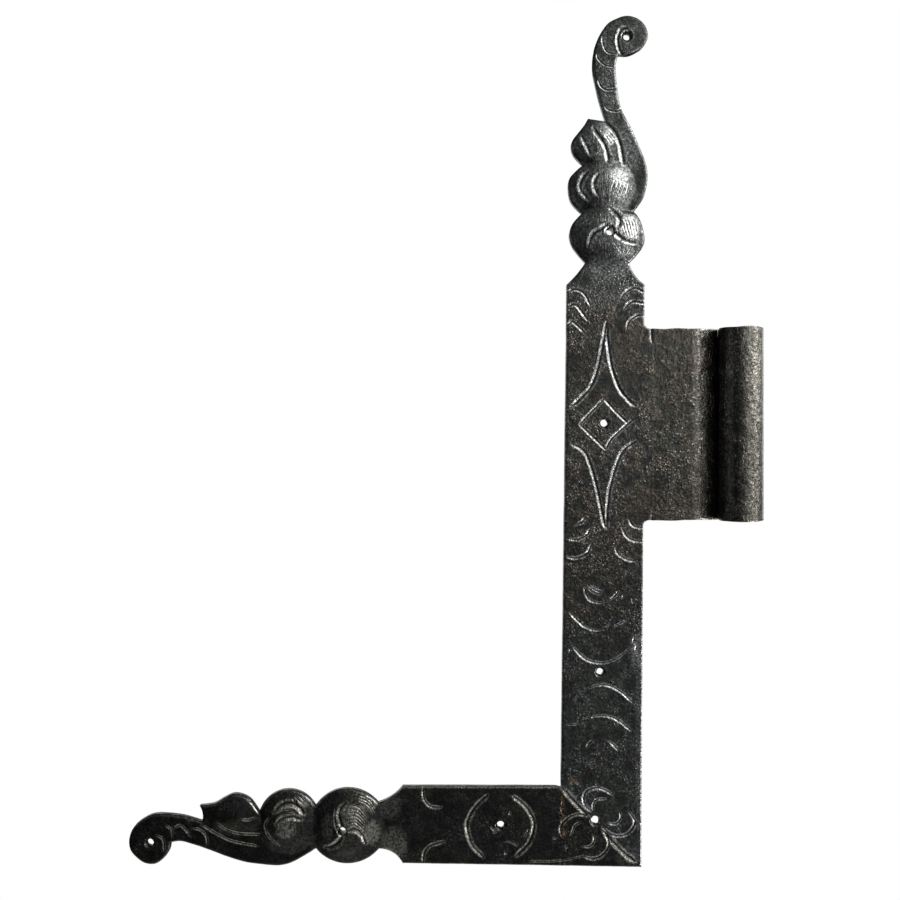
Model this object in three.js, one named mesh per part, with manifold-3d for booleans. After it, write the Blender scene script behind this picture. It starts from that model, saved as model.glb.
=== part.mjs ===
// Angle strap hinge: an L of two mitred flat bars with forged scroll ends, a rolled eye leaf welded to
// the upright bar, and the round pin that turns in the eye. Millimetres, +Z up, decorated front
// towards -Y. The datum is on the flat back face, on the upright bar's plain lower stretch.
import * as THREE from 'three';
import { mergeVertices } from 'three/addons/utils/BufferGeometryUtils.js';
import Module from 'manifold-3d';

const wasm = await Module();
wasm.setup();

// ---- driving dimensions; heights are above the L's lower edge, x = 0 is the upright's middle ----
const BAR_THICKNESS = 4;
const SHEET_THICKNESS = 3; // the eye leaf
const PIN_DIAMETER = 16;
const EYE_BORE_DIAMETER = 16.5;
const SEAM = 0.3; // clearance between neighbouring pieces
const DATUM_HEIGHT = 60;

const OUTER_CORNER = [20, 0];
const INNER_CORNER = [-21.6, 41.4];
const UPRIGHT_SHOULDERS = { lobed: [-18.5, 301.4], curved: [21.8, 301.4] };
const FOOT_SHOULDERS = { lobed: [-103.6, 41.6], curved: [-103.6, 1.9] };

const STUB = { right: 25.3, bottom: 179.4, top: 278.7, fillet: 3 }; // carries the eye leaf
const BEND_START = 46; // where the leaf leaves the plane of the bar
const BEND_RADIUS = 10;
const EYE_AXIS = [72, -2]; // x, y
const EYE_END_ANGLE = THREE.MathUtils.degToRad(-199); // the rolled edge, from +X round over the front
const PIN_RECESS = 2; // the pin's top end sits this far inside the eye
const PIN_CHAMFER = 1;

const HOLE_RADIUS = 2.3;
const SINK_RADIUS = 3.5; // 90 degree countersink
const CORNER_HOLE = [-3.9, 24.0];
const UPRIGHT_HOLES = [[-1.35, 100.9], [0.87, 229.8]];
const FOOT_HOLES = [[-52.8, 21.6]];
const DOME_RISE = 3;

const MITRE_WELD_DEPTH = 2.4;
const MITRE_WELD_END = 3; // the weld stops this far short of the outer corner
const LEAF_WELD = { stubLeg: 2, leafLeg: 1.2, end: 1 };

const CURVE_STEP = 1.6; // chord length along curved edges
const OVERCUT = 1; // how far a cutting tool reaches past the face it cuts

// ---- scroll ends, as [along the bar from its shoulders, across it], across > 0 on the lobed side.
// A stretch of edge is a circular arc through one point or a smooth curve through several. ----
const UPRIGHT_SCROLL = {
  lobed: {
    cove: [[5.4, 15.0]],
    neck: [11.4, 10.6],
    lowLobe: [[16.5, 15.0], [20.7, 17.8], [25.8, 18.9], [31.5, 17.2]],
    lowNotch: [36.9, 12.5],
    middleLobe: [[41.4, 17.0], [45.0, 18.8], [51.0, 19.5], [55.5, 18.5], [59.2, 15.2]],
    middleNotch: [62.0, 11.9],
    leaf: [[66.2, 15.9], [70.0, 17.6], [74.3, 17.3], [78.6, 14.2], [82.5, 11.2]],
    tip: [86.2, 9.2],
    rim: [[85.3, 4.6]],
    fork: [84.6, 0.0],
  },
  volute: [[97.2, 3.9], [112.7, 6.7], [125.1, 5.0], [134.2, 0.0], [137.8, -5.3], [139.3, -10.9],
    [137.8, -16.6], [133.7, -20.7], [128.3, -21.9], [123.4, -19.3], [120.5, -15.2], [119.0, -11.0]],
  throat: [119.2, -6.7],
  curved: {
    stem: [[112.7, -5.2], [100.3, -6.3], [91.0, -8.2], [81.7, -13.0], [72.4, -17.1], [63.1, -20.8],
      [55.3, -21.7], [48.2, -20.6], [43.4, -18.7]],
    lowNotch: [37.9, -14.6],
    lowLobe: [[35.2, -16.9], [30.5, -18.9], [23.8, -20.3], [19.1, -19.0], [15.3, -16.2]],
    neck: [11.1, -12.3],
    cove: [[5.7, -14.7]],
  },
  domes: [{ centre: [24.5, -0.8], along: 15, across: 20 }, { centre: [50.5, -1.5], along: 15, across: 20 }],
  domeHole: [26.9, -1.55],
  voluteHole: [128.6, -10.96],
};
const FOOT_SCROLL = {
  lobed: {
    cove: [[6.5, 14.0]],
    neck: [12.7, 11.2],
    lowLobe: [[26.6, 18.5]],
    lowNotch: [45.2, 9.6],
    middleLobe: [[59.2, 18.0]],
    middleNotch: [74.2, 6.7],
    leaf: [[79.5, 13.4], [86.6, 15.9], [92.5, 13.8], [98.0, 10.8]],
    tip: [105.2, 9.8],
    rim: [[103.6, 5.6]],
    fork: [103.9, 1.6],
  },
  volute: [[115.0, 4.6], [127.4, 5.5], [134.1, 3.1], [139.2, -1.4], [141.5, -7.2], [141.0, -12.9],
    [137.6, -17.2], [133.1, -20.0], [127.8, -20.2], [123.4, -17.2], [120.9, -13.5]],
  throat: [120.1, -9.3],
  curved: {
    stem: [[115.0, -8.6], [108.8, -10.1], [99.5, -13.2], [90.2, -16.8], [80.9, -19.4], [68.5, -21.0],
      [62.3, -20.9], [56.1, -19.0]],
    lowNotch: [44.7, -12.5],
    lowLobe: [[28.2, -19.9]],
    neck: [12.1, -12.5],
    cove: [[6.2, -13.8]],
  },
  domes: [{ centre: [28.5, -0.5], along: 17, across: 19 }, { centre: [59.5, -1.5], along: 15, across: 19 }],
  domeHole: [30.8, -2.07],
  voluteHole: [130.8, -9.4],
};

// ---- frames of the two bars: the upright runs up from its shoulders, the foot runs left ----
const middleOf = (a, b) => [(a[0] + b[0]) / 2, (a[1] + b[1]) / 2];
const uprightBase = middleOf(UPRIGHT_SHOULDERS.lobed, UPRIGHT_SHOULDERS.curved);
const footBase = middleOf(FOOT_SHOULDERS.lobed, FOOT_SHOULDERS.curved);
const alongUpright = ([along, across]) => [uprightBase[0] - across, uprightBase[1] + along];
const alongFoot = ([along, across]) => [footBase[0] - along, footBase[1] + across];

// ---- helpers ----
const toVectors = (points) => points.map(([a, b]) => new THREE.Vector2(a, b));

function toManifold(geometry) {
  const bare = geometry.clone();
  bare.deleteAttribute('normal');
  bare.deleteAttribute('uv');
  const merged = mergeVertices(bare, 1e-4);
  return new wasm.Manifold(new wasm.Mesh({
    numProp: 3,
    vertProperties: Float32Array.from(merged.attributes.position.array),
    triVerts: Uint32Array.from(merged.index.array),
  }));
}

function toGeometry(manifold) {
  const { vertProperties, triVerts } = manifold.getMesh();
  const geometry = new THREE.BufferGeometry();
  geometry.setAttribute('position', new THREE.BufferAttribute(vertProperties, 3));
  geometry.setIndex(new THREE.BufferAttribute(triVerts, 1));
  geometry.computeVertexNormals();
  return geometry;
}

function sampled(curve) {
  const steps = Math.max(2, Math.ceil(curve.getLength() / CURVE_STEP));
  return curve.getSpacedPoints(steps).slice(1).map((p) => [p.x, p.y]);
}

/** Points after the first along the circular arc that passes through the middle point. */
function arcPoints([ax, ay], [bx, by], [cx, cy]) {
  const d = 2 * (ax * (by - cy) + bx * (cy - ay) + cx * (ay - by));
  const [a, b, c] = [ax * ax + ay * ay, bx * bx + by * by, cx * cx + cy * cy];
  const x = (a * (by - cy) + b * (cy - ay) + c * (ay - by)) / d;
  const y = (a * (cx - bx) + b * (ax - cx) + c * (bx - ax)) / d;
  const radius = Math.hypot(ax - x, ay - y);
  const turn = (bx - ax) * (cy - ay) - (by - ay) * (cx - ax);
  const from = Math.atan2(ay - y, ax - x);
  const to = Math.atan2(cy - y, cx - x);
  return sampled(new THREE.EllipseCurve(x, y, radius, radius, from, to, turn < 0));
}

/** Points after the first along the smooth curve through all the points. */
const splinePoints = (points) => sampled(new THREE.SplineCurve(toVectors(points)));

/** Points after the first from start to end: an arc through one point, or a curve through several. */
function stretch(start, via, end) {
  return via.length === 1 ? arcPoints(start, via[0], end) : splinePoints([start, ...via, end]);
}

/** A scroll end's edge from the lobed shoulder, round the volute, to the curved shoulder. */
function scrollEdge({ lobed, volute, throat, curved }, lobedShoulder, curvedShoulder) {
  return [
    lobedShoulder,
    ...stretch(lobedShoulder, lobed.cove, lobed.neck),
    ...stretch(lobed.neck, lobed.lowLobe, lobed.lowNotch),
    ...stretch(lobed.lowNotch, lobed.middleLobe, lobed.middleNotch),
    ...stretch(lobed.middleNotch, lobed.leaf, lobed.tip),
    ...stretch(lobed.tip, lobed.rim, lobed.fork),
    ...stretch(lobed.fork, volute, throat),
    ...stretch(throat, curved.stem, curved.lowNotch),
    ...stretch(curved.lowNotch, curved.lowLobe, curved.neck),
    ...stretch(curved.neck, curved.cove, curvedShoulder),
  ];
}

/** A plate with the given [x, z] outline, between two depths behind which +Y lies. */
function plate(outline, front, back) {
  const geometry = new THREE.ExtrudeGeometry(new THREE.Shape(toVectors(outline)), {
    depth: back - front,
    bevelEnabled: false,
  });
  geometry.rotateX(Math.PI / 2);
  geometry.translate(0, back, 0);
  return toManifold(geometry);
}

/** A bar standing along z with the given [x, y] section. */
function prism(section, bottom, top) {
  const geometry = new THREE.ExtrudeGeometry(new THREE.Shape(toVectors(section)), {
    depth: top - bottom,
    bevelEnabled: false,
  });
  return geometry.translate(0, 0, bottom);
}

/** The countersinking drill at [x, z], entering a face that stands proud of the bar's front. */
function drill([x, z], proud = 0) {
  const face = -BAR_THICKNESS - proud;
  const profile = [
    [0, face - OVERCUT],
    [SINK_RADIUS + OVERCUT, face - OVERCUT],
    [HOLE_RADIUS, face + SINK_RADIUS - HOLE_RADIUS],
    [HOLE_RADIUS, OVERCUT],
    [0, OVERCUT],
  ];
  return toManifold(new THREE.LatheGeometry(toVectors(profile), 32).translate(x, 0, z));
}

/** A forged dome over a lobe, cut to the bar's outline. */
function dome({ centre, along, across }, place, outline) {
  const guide = plate(outline, -BAR_THICKNESS - DOME_RISE - OVERCUT, -OVERCUT);
  const depth = BAR_THICKNESS / 2 + DOME_RISE;
  const [width, height] = place === alongUpright ? [across, along] : [along, across];
  const [x, z] = place(centre);
  const ball = new THREE.SphereGeometry(1, 36, 20).scale(width, depth, height);
  return toManifold(ball.translate(x, -BAR_THICKNESS / 2, z)).intersect(guide);
}

// ---- the mitre joint, welded from behind in a V that the corner screw hole interrupts ----
const mitre = new THREE.Vector2(...OUTER_CORNER).sub(new THREE.Vector2(...INNER_CORNER));
const cornerHoleRun = new THREE.Vector2(...CORNER_HOLE).distanceTo(new THREE.Vector2(...INNER_CORNER));
const seamShift = SEAM / Math.SQRT2; // along either bar's edge, for half the seam at 45 degrees

/** A V-shaped bar along the mitre in the back face, between two distances from the inner corner. */
function mitreWedge(from, to, depth, proud) {
  const section = [[0, -depth], [depth + proud, proud], [-depth - proud, proud]];
  const geometry = prism(section, from, to);
  geometry.rotateY(Math.PI / 2);
  geometry.rotateY(-mitre.angle());
  return geometry.translate(INNER_CORNER[0], 0, INNER_CORNER[1]);
}

// ---- pieces ----
function uprightOutline() {
  const { lobed, curved } = UPRIGHT_SHOULDERS;
  const slope = (curved[0] - OUTER_CORNER[0]) / curved[1];
  const edgeX = (z) => OUTER_CORNER[0] + slope * z;
  const bow = STUB.fillet * (1 - Math.SQRT1_2);
  const low = edgeX(STUB.bottom);
  const high = edgeX(STUB.top);
  const lowStart = [low, STUB.bottom - STUB.fillet];
  const highStart = [high + STUB.fillet, STUB.top];
  const edge = scrollEdge(UPRIGHT_SCROLL, [0, uprightBase[0] - lobed[0]], [0, uprightBase[0] - curved[0]]);
  return [
    [INNER_CORNER[0], INNER_CORNER[1] + seamShift],
    [OUTER_CORNER[0], OUTER_CORNER[1] + seamShift],
    lowStart,
    ...arcPoints(lowStart, [low + bow, STUB.bottom - bow], [low + STUB.fillet, STUB.bottom]),
    [STUB.right, STUB.bottom],
    [STUB.right, STUB.top],
    highStart,
    ...arcPoints(highStart, [high + bow, STUB.top + bow], [high, STUB.top + STUB.fillet]),
    ...edge.map(alongUpright).reverse(),
  ];
}

function footOutline() {
  const { lobed, curved } = FOOT_SHOULDERS;
  const edge = scrollEdge(FOOT_SCROLL, [0, lobed[1] - footBase[1]], [0, curved[1] - footBase[1]]);
  return [
    [OUTER_CORNER[0] - seamShift, OUTER_CORNER[1]],
    [INNER_CORNER[0] - seamShift, INNER_CORNER[1]],
    ...edge.map(alongFoot),
  ];
}

/** A bar with its domes, screw holes and the mitre's welding groove. */
function bar(outline, scroll, place, plainHoles) {
  const blank = scroll.domes.reduce(
    (solid, bulge) => solid.add(dome(bulge, place, outline)),
    plate(outline, -BAR_THICKNESS, 0),
  );
  const holes = [CORNER_HOLE, ...plainHoles, place(scroll.voluteHole)].map((at) => drill(at));
  const domeHole = drill(place(scroll.domeHole), DOME_RISE);
  const groove = toManifold(mitreWedge(-OVERCUT, mitre.length() + OVERCUT, MITRE_WELD_DEPTH, OVERCUT));
  return [...holes, domeHole, groove].reduce((solid, tool) => solid.subtract(tool), blank);
}

function strapUpright() {
  const { right, bottom, top } = STUB;
  const leg = LEAF_WELD.stubLeg + OVERCUT;
  const chamfer = prism(
    [[right + OVERCUT, -leg], [right + OVERCUT, OVERCUT], [right - leg, OVERCUT]],
    bottom - OVERCUT,
    top + OVERCUT,
  );
  return toGeometry(
    bar(uprightOutline(), UPRIGHT_SCROLL, alongUpright, UPRIGHT_HOLES).subtract(toManifold(chamfer)),
  );
}

const strapFoot = () => toGeometry(bar(footOutline(), FOOT_SCROLL, alongFoot, FOOT_HOLES));

/** One sheet: flat beside the stub, bent back, then rolled behind the axis and round over the front. */
function knuckleLeaf() {
  const [axisX, axisY] = EYE_AXIS;
  const half = SHEET_THICKNESS / 2;
  const middleY = -BAR_THICKNESS + half;
  const rollRadius = EYE_BORE_DIAMETER / 2 + half;
  const left = STUB.right + SEAM;
  const reach = new THREE.Vector2(axisX - BEND_START, middleY + BEND_RADIUS - axisY);
  const slant = Math.asin((BEND_RADIUS + rollRadius) / reach.length()) - reach.angle();
  const bentFace = (offset) => {
    const bend = new THREE.EllipseCurve(BEND_START, middleY + BEND_RADIUS, BEND_RADIUS - offset,
      BEND_RADIUS - offset, -Math.PI / 2, slant - Math.PI / 2, false);
    const roll = new THREE.EllipseCurve(axisX, axisY, rollRadius + offset, rollRadius + offset,
      slant + Math.PI / 2, EYE_END_ANGLE, true);
    return [...bend.getPoints(6), ...roll.getPoints(60)].map((p) => [p.x, p.y]);
  };
  const section = [
    [left, middleY + half - LEAF_WELD.leafLeg],
    [left + LEAF_WELD.leafLeg, middleY + half],
    ...bentFace(half),
    ...bentFace(-half).reverse(),
    [left, middleY - half],
  ];
  return prism(section, STUB.bottom, STUB.top);
}

function hingePin() {
  const radius = PIN_DIAMETER / 2;
  const top = STUB.top - PIN_RECESS;
  const profile = [
    [0, STUB.bottom],
    [radius - PIN_CHAMFER, STUB.bottom],
    [radius, STUB.bottom + PIN_CHAMFER],
    [radius, top - PIN_CHAMFER],
    [radius - PIN_CHAMFER, top],
    [0, top],
  ];
  const geometry = new THREE.LatheGeometry(toVectors(profile), 64);
  return geometry.rotateX(Math.PI / 2).translate(EYE_AXIS[0], EYE_AXIS[1], 0);
}

const mitreWeld = (from, to) => mitreWedge(from, to, MITRE_WELD_DEPTH - SEAM * Math.SQRT2, 0);
const cornerWeldInner = () => mitreWeld(SEAM, cornerHoleRun - HOLE_RADIUS - SEAM);
const cornerWeldOuter = () => mitreWeld(
  cornerHoleRun + HOLE_RADIUS + SEAM,
  mitre.length() - MITRE_WELD_END,
);

/** Fills the two chamfers behind the leaf's butt joint, flush with the back of the bar. */
function knuckleWeld() {
  const { right, bottom, top } = STUB;
  const clear = SEAM * Math.SQRT2;
  const barSide = right - LEAF_WELD.stubLeg + clear; // x + y on the bar's chamfer, moved off it
  const leafBack = SHEET_THICKNESS - BAR_THICKNESS;
  const leafToe = right + SEAM + LEAF_WELD.leafLeg;
  const leafSide = leafBack - leafToe + clear; // y - x on the leaf's chamfer, moved off it
  const section = [
    [(barSide - leafSide) / 2, (barSide + leafSide) / 2],
    [leafToe - clear / 2, leafBack + clear / 2],
    [right + SEAM, 0],
    [barSide, 0],
  ];
  return prism(section, bottom + LEAF_WELD.end, top - LEAF_WELD.end);
}

// ---- assembly ----
const PIECES = [
  ['strap_upright', strapUpright, 0x33322f, 0.5],
  ['strap_foot', strapFoot, 0x2c2b28, 0.55],
  ['knuckle_leaf', knuckleLeaf, 0x3a3733, 0.5],
  ['hinge_pin', hingePin, 0x6f7072, 0.35],
  ['corner_weld_inner', cornerWeldInner, 0x45423e, 0.7],
  ['corner_weld_outer', cornerWeldOuter, 0x45423e, 0.7],
  ['knuckle_weld', knuckleWeld, 0x45423e, 0.7],
];

const hinge = new THREE.Group();
for (const [name, build, color, roughness] of PIECES) {
  const material = new THREE.MeshStandardMaterial({ color, roughness, metalness: 0.9 });
  const mesh = new THREE.Mesh(build(), material);
  mesh.name = name;
  hinge.add(mesh);
}
hinge.position.set(0, 0, -DATUM_HEIGHT);

export default hinge;
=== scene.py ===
import math

import bmesh
import bpy
import numpy as np
from mathutils import Matrix, Vector, kdtree
from mathutils.geometry import delaunay_2d_cdt


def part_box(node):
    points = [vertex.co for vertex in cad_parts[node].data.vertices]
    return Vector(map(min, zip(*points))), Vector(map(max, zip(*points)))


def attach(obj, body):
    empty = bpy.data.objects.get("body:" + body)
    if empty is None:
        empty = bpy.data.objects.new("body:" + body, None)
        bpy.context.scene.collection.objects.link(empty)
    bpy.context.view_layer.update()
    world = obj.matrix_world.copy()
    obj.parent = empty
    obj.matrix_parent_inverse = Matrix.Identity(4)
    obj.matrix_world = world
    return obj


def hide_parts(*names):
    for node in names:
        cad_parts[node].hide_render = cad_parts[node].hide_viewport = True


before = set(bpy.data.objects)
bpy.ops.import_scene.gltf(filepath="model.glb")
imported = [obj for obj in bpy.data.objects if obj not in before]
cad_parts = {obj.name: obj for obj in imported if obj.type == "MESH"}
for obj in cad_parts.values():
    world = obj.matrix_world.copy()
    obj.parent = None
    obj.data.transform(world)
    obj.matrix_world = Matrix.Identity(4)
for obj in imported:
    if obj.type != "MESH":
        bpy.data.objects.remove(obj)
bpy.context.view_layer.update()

MM = 0.001
LOWER_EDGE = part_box("strap_foot")[0].z / MM  # z of height 0
BAR_THICKNESS = 4.0
INNER_CORNER = np.array([-21.6, 41.4])  # ends of the mitre
OUTER_CORNER = np.array([20.0, 0.0])
CORNER_HOLE = np.array([-3.9, 24.0])  # the screw hole that the mitre runs through
STUB_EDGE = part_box("strap_upright")[1].x / MM  # where the eye leaf butts against the upright
LEAF_ENDS = tuple(corner.z / MM - LOWER_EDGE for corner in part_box("knuckle_leaf"))
MITRE_RUN = (OUTER_CORNER - INNER_CORNER) / np.linalg.norm(OUTER_CORNER - INNER_CORNER)
MITRE_ACROSS = np.array([-MITRE_RUN[1], MITRE_RUN[0]])  # towards the upright's side

# ---------------- surface character
EDGE_ROUNDING = 0.8
SCROLL_ROUNDING = 1.1
BACK_ROUNDING = 0.5
EDGE_ROWS = (0.12, 0.4, 1.0)  # rows of points in a rounded edge, as shares of its radius
WALL_ROWS = (0.2, 0.5, 0.8)  # rings of points in a wall, as shares of the way back
SEAM_ROUNDING = 0.06
END_ROUNDING = [(0.0, 0.45), (0.06, 0.18), (0.3, 0.03)]  # a swept piece's ends: depth, how far drawn in
WALL_WEAR = 0.6  # how worn an outline's edge is
SEAM_CLOSING = 0.16  # each side of a welded seam reaches this far over the CAD gap
EDGE_WOBBLE = 0.13
CORNER_TURN = 28.0  # degrees; an outline bends more sharply than this only at a real corner
STRAIGHT_LENGTH = 4.0
OUTLINE_STEP = 0.45
GRID_STEP = 0.62
BACK_STEP = 2.4

SCROLL_STARTS = (303.0, -106.0)  # the upright's scroll end lies above, the foot's to the left
SHARP_ANGLE = 42.0  # degrees; surfaces that meet more sharply than this are shaded as an edge
HOLE_RADIUS = 2.1
HOLE_THROAT = 0.3  # a punched hole narrows by this much behind its mouth
HOLE_CLEARANCE = 0.25
SINK_RADIUS = 2.9
SINK_ROWS = (2.65, 2.95, 3.25, 3.7)  # radii of the rings of points round a countersink
CORNER_HOLE_SHARE = 0.9  # the corner hole's drawn size over its CAD size
MITRE_WELD_DEPTH = 2.4
STUB_WELD_LEG = 2.0

# The low bulbs, middle bulbs and leaves of the two scroll ends: centre, half sizes, rise
BULBS = [
    ((2.6, 327.0), (20.5, 17.5), 3.5),
    ((0.4, 352.0), (17.0, 15.5), 3.0),
    ((-4.0, 374.5), (13.0, 13.0), 1.9),
    ((-132.3, 20.6), (20.0, 20.5), 3.5),
    ((-163.0, 22.5), (16.5, 16.5), 3.0),
    ((-190.2, 27.0), (16.5, 11.5), 1.7),
]
BULB_FULLNESS = 1.45

# ---------------- chiselled lines
# Each chisel leaves lines of its own width, depth and run-out (the share of depth lost by a line's end).
# Points are (x, height) along the line.
GOUGE = (3.0, 0.85, 0.0)
BOLD = (2.3, 0.7, 0.0)
PLAIN = (1.7, 0.52, 0.0)
SWEEP = (1.6, 0.52, 0.7)
FINE = (1.25, 0.36, 0.0)
FAINT = (0.9, 0.2, 0.0)
STROKE = (0.95, 0.22, 0.3)
DENT = (1.1, 0.3, 0.2)

SPEARS = (BOLD, [
    [(2, 282), (0.5, 272.5), (-2.5, 258), (-6, 249), (-11.5, 242.5), (-16.5, 238)],
    [(2.5, 279), (2.5, 274), (4.5, 259.5), (8.5, 248), (12.5, 242.5), (17, 238.5)],
    [(-16, 219), (-10, 215.5), (-6.5, 208.5), (-3, 196), (0, 181.5), (1.5, 175.5)],
    [(17, 220), (11, 216), (7, 207.5), (4, 197), (2.5, 185), (2, 175.5)],
])
DIAMOND = (PLAIN, [
    [(1, 242.5), (-5.5, 236), (-12, 229)],
    [(-12, 229), (-5.5, 223), (1.5, 216)],
    [(1, 242), (7, 235.5), (12.5, 230)],
    [(1.5, 216), (4.5, 221.5), (12.5, 229), (16, 231.5)],
])
CROWN_ARCS = (PLAIN, [
    [(-19, 297), (-14.5, 299), (-9.5, 296.5), (-6.5, 290.5)],
    [(-19, 289.5), (-14.5, 291), (-11, 287.5), (-8, 283)],
    [(-18.5, 280), (-15.5, 282), (-10, 277)],
    [(22.5, 297), (17, 299.5), (12.5, 298), (9.5, 294.5)],
    [(22.5, 291.5), (17.5, 292.5), (14, 292), (11, 288.5)],
    [(21.5, 285.5), (17, 285), (13.5, 282), (12.5, 278)],
])
BASE_ARCS = (PLAIN, [
    [(-14.5, 177), (-11, 178.5), (-9, 181)],
    [(-18.5, 170), (-14, 169.5), (-9, 171.5), (-6, 175.5)],
    [(-18.5, 160.5), (-14, 160), (-8.5, 162), (-6, 167)],
    [(13.5, 180), (16, 176.5), (21.5, 175.5)],
    [(10, 175.5), (12.5, 171), (16, 169), (21, 168.5)],
    [(6.5, 165), (8.5, 161.5), (13, 159), (16.5, 158.5)],
])
CRESCENTS = (SWEEP, [
    [(-9.5, 144.5), (-8.3, 140.3), (-5.5, 137.6), (-1, 136.9), (2, 137.6)],
    [(8.2, 142.6), (5.4, 139.6), (3, 138)],
    [(-17, 131.8), (-12.5, 127.2), (-8.8, 124.2), (-4, 122.7), (2, 123.2)],
    [(-15, 113.8), (-11.2, 109.5), (-6.5, 106.6), (0, 105.8), (6, 107.4), (11, 110.8), (14.8, 114.6)],
    [(15.3, 85.3), (10, 90.2), (4, 93.6), (-2, 94.2), (-8, 92.4), (-12, 89.8)],
    [(14.2, 70.8), (9.6, 74.9), (5, 77.4), (0, 78.4), (-5, 78), (-9.8, 76.9)],
    [(-8.4, 62.2), (-6.3, 64.9), (-4, 66.1)],
    [(8.2, 60.4), (4.5, 64.2), (1, 66.4)],
])
CRESCENT_TAILS = (FAINT, [
    [(1.9, 124.4), (3.6, 126)],
    [(5.9, 124.6), (11.8, 127.6)],
    [(-15, 86.2), (-12.8, 89)],
    [(-18.5, 74), (-15.5, 73.8), (-12.5, 74.4)],
    [(-37.5, 3), (-22, 3.5), (-9.5, 6)],
    [(-49.3, 13.6), (-44.1, 11.3)],
])
CORNER_CUTS = (GOUGE, [
    [(-21, 41.2), (-15.7, 35.2), (-11.8, 31), (-7.9, 27)],
    [(0.5, 18.6), (8.2, 10.2), (12.1, 6.6), (16.8, 2.8)],
])
PETALS = (PLAIN, [
    [(-6, 29), (-9, 32), (-10, 36), (-8, 39.5), (-3.5, 41), (1, 40), (5, 37.5)],
    [(0, 20.5), (4.5, 17), (10, 16.5), (14.5, 19), (16.5, 24), (13.5, 29)],
    [(-8, 26.5), (-12.5, 27.5), (-17, 26), (-20.5, 23), (-22, 19.5), (-21, 16)],
    [(1, 18.5), (3, 13.5), (2, 9), (-1.5, 5.5), (-5.5, 4.5), (-9.5, 5.5)],
])
PETAL_VEINS = (FINE, [
    [(-5, 29.5), (-5, 32.5), (-3, 35), (2, 35.5)],
    [(2.5, 23), (6.5, 22.5), (9, 25), (9, 29)],
    [(-11, 23.5), (-14.5, 21.5), (-16.5, 17)],
    [(-5, 17), (-4.5, 14), (-6.5, 11), (-10.5, 10.5)],
])
FOOT_BRACKETS = (BOLD, [
    [(-59.5, 37.5), (-66, 31), (-70, 23.5), (-70, 18.5), (-67.5, 11.5), (-62, 5.5)],
    [(-46.5, 37), (-39.5, 31), (-36, 24.5), (-36, 18.5), (-38.5, 12), (-45, 5.5)],
])
FOOT_ARCS = (PLAIN, [
    [(-93, 41), (-92.5, 35.5), (-89, 31.5), (-83.5, 31)],
    [(-93, 2.5), (-92.5, 7), (-89.5, 11), (-82, 13.5)],
])
UPRIGHT_VOLUTE = (BOLD, [
    [(13.5, 433.5), (10, 433.5), (8, 430), (8, 425.5), (9.5, 421.5), (12, 420.5)],
])
UPRIGHT_SCALES = (FINE, [
    [(0, 429.5), (0, 426.5), (2, 422), (7, 420.5)],
    [(-3, 421), (-2.5, 418.5), (1, 415), (6.5, 414)],
    [(-2.5, 407.5), (-1, 404), (2.5, 402), (8.5, 403)],
    [(1, 393.5), (2.5, 392), (7, 391), (10.5, 392.5)],
])
UPRIGHT_LEAF = (GOUGE, [
    [(-10.9, 377.6), (-8.8, 373.6), (-6.6, 368.3)],
    [(-5.2, 382.2), (-0.8, 376.2), (2, 370), (3.2, 364.2)],
    [(1.3, 385.6), (5.9, 381), (9, 374), (10.9, 363.7)],
    [(-8.1, 359.2), (-11.3, 354.5), (-11.4, 350), (-7.6, 345)],
])
UPRIGHT_SWIRL = (GOUGE, [
    [(-2.3, 357.8), (-4.4, 354.5), (-4.6, 351), (-2.8, 347)],
    [(3.5, 340.4), (7.4, 337.2), (8.6, 333.3), (6.8, 329)],
    [(4, 329), (10, 324.5), (16.8, 322.6)],
    [(2, 331.8), (-1.5, 329), (-5.5, 326.5), (-7.6, 320.5)],
])
FOOT_VOLUTE = (FINE, [
    [(-231, 16.5), (-227.5, 14.5), (-226.5, 8)],
    [(-226, 21.5), (-223, 19.5), (-222.5, 15.5)],
    [(-221.5, 20.5), (-218, 21.5), (-213, 16)],
    [(-212.5, 20), (-208.5, 19.5), (-205, 16), (-204.5, 11.5)],
])
FOOT_LEAF = (FINE, [
    [(-199.5, 23.5), (-195, 20), (-187.5, 17.5), (-177, 17)],
    [(-207.5, 22), (-200, 17.5), (-191.5, 13.5), (-178.5, 11)],
    [(-187, 25.5), (-183.5, 25), (-179.5, 26)],
    [(-183.5, 35), (-180.5, 32.5), (-178.5, 29)],
])
FOOT_SWIRL = (GOUGE, [
    [(-169.7, 29), (-165.4, 32.9), (-160.8, 33.5), (-156.8, 31.5), (-154.4, 28.2)],
    [(-168.5, 23.2), (-164.9, 26.3), (-160.3, 27.1), (-155.7, 25.7)],
    [(-132.7, 33.7), (-135.4, 30.3), (-135.8, 26.3), (-133.8, 21.5)],
    [(-131.5, 20.3), (-128.1, 20.9), (-124.7, 18.5), (-122.4, 13.2)],
    [(-134.4, 17), (-137, 13.5), (-140.5, 11.2), (-143.2, 11)],
])
FOOT_RINGS = (FINE, [
    [(-172.3, 26.3), (-174.4, 22), (-172.3, 16.5), (-167.2, 11.6)],
    [(-138, 31), (-138.2, 25), (-136.4, 19)],
])
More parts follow.
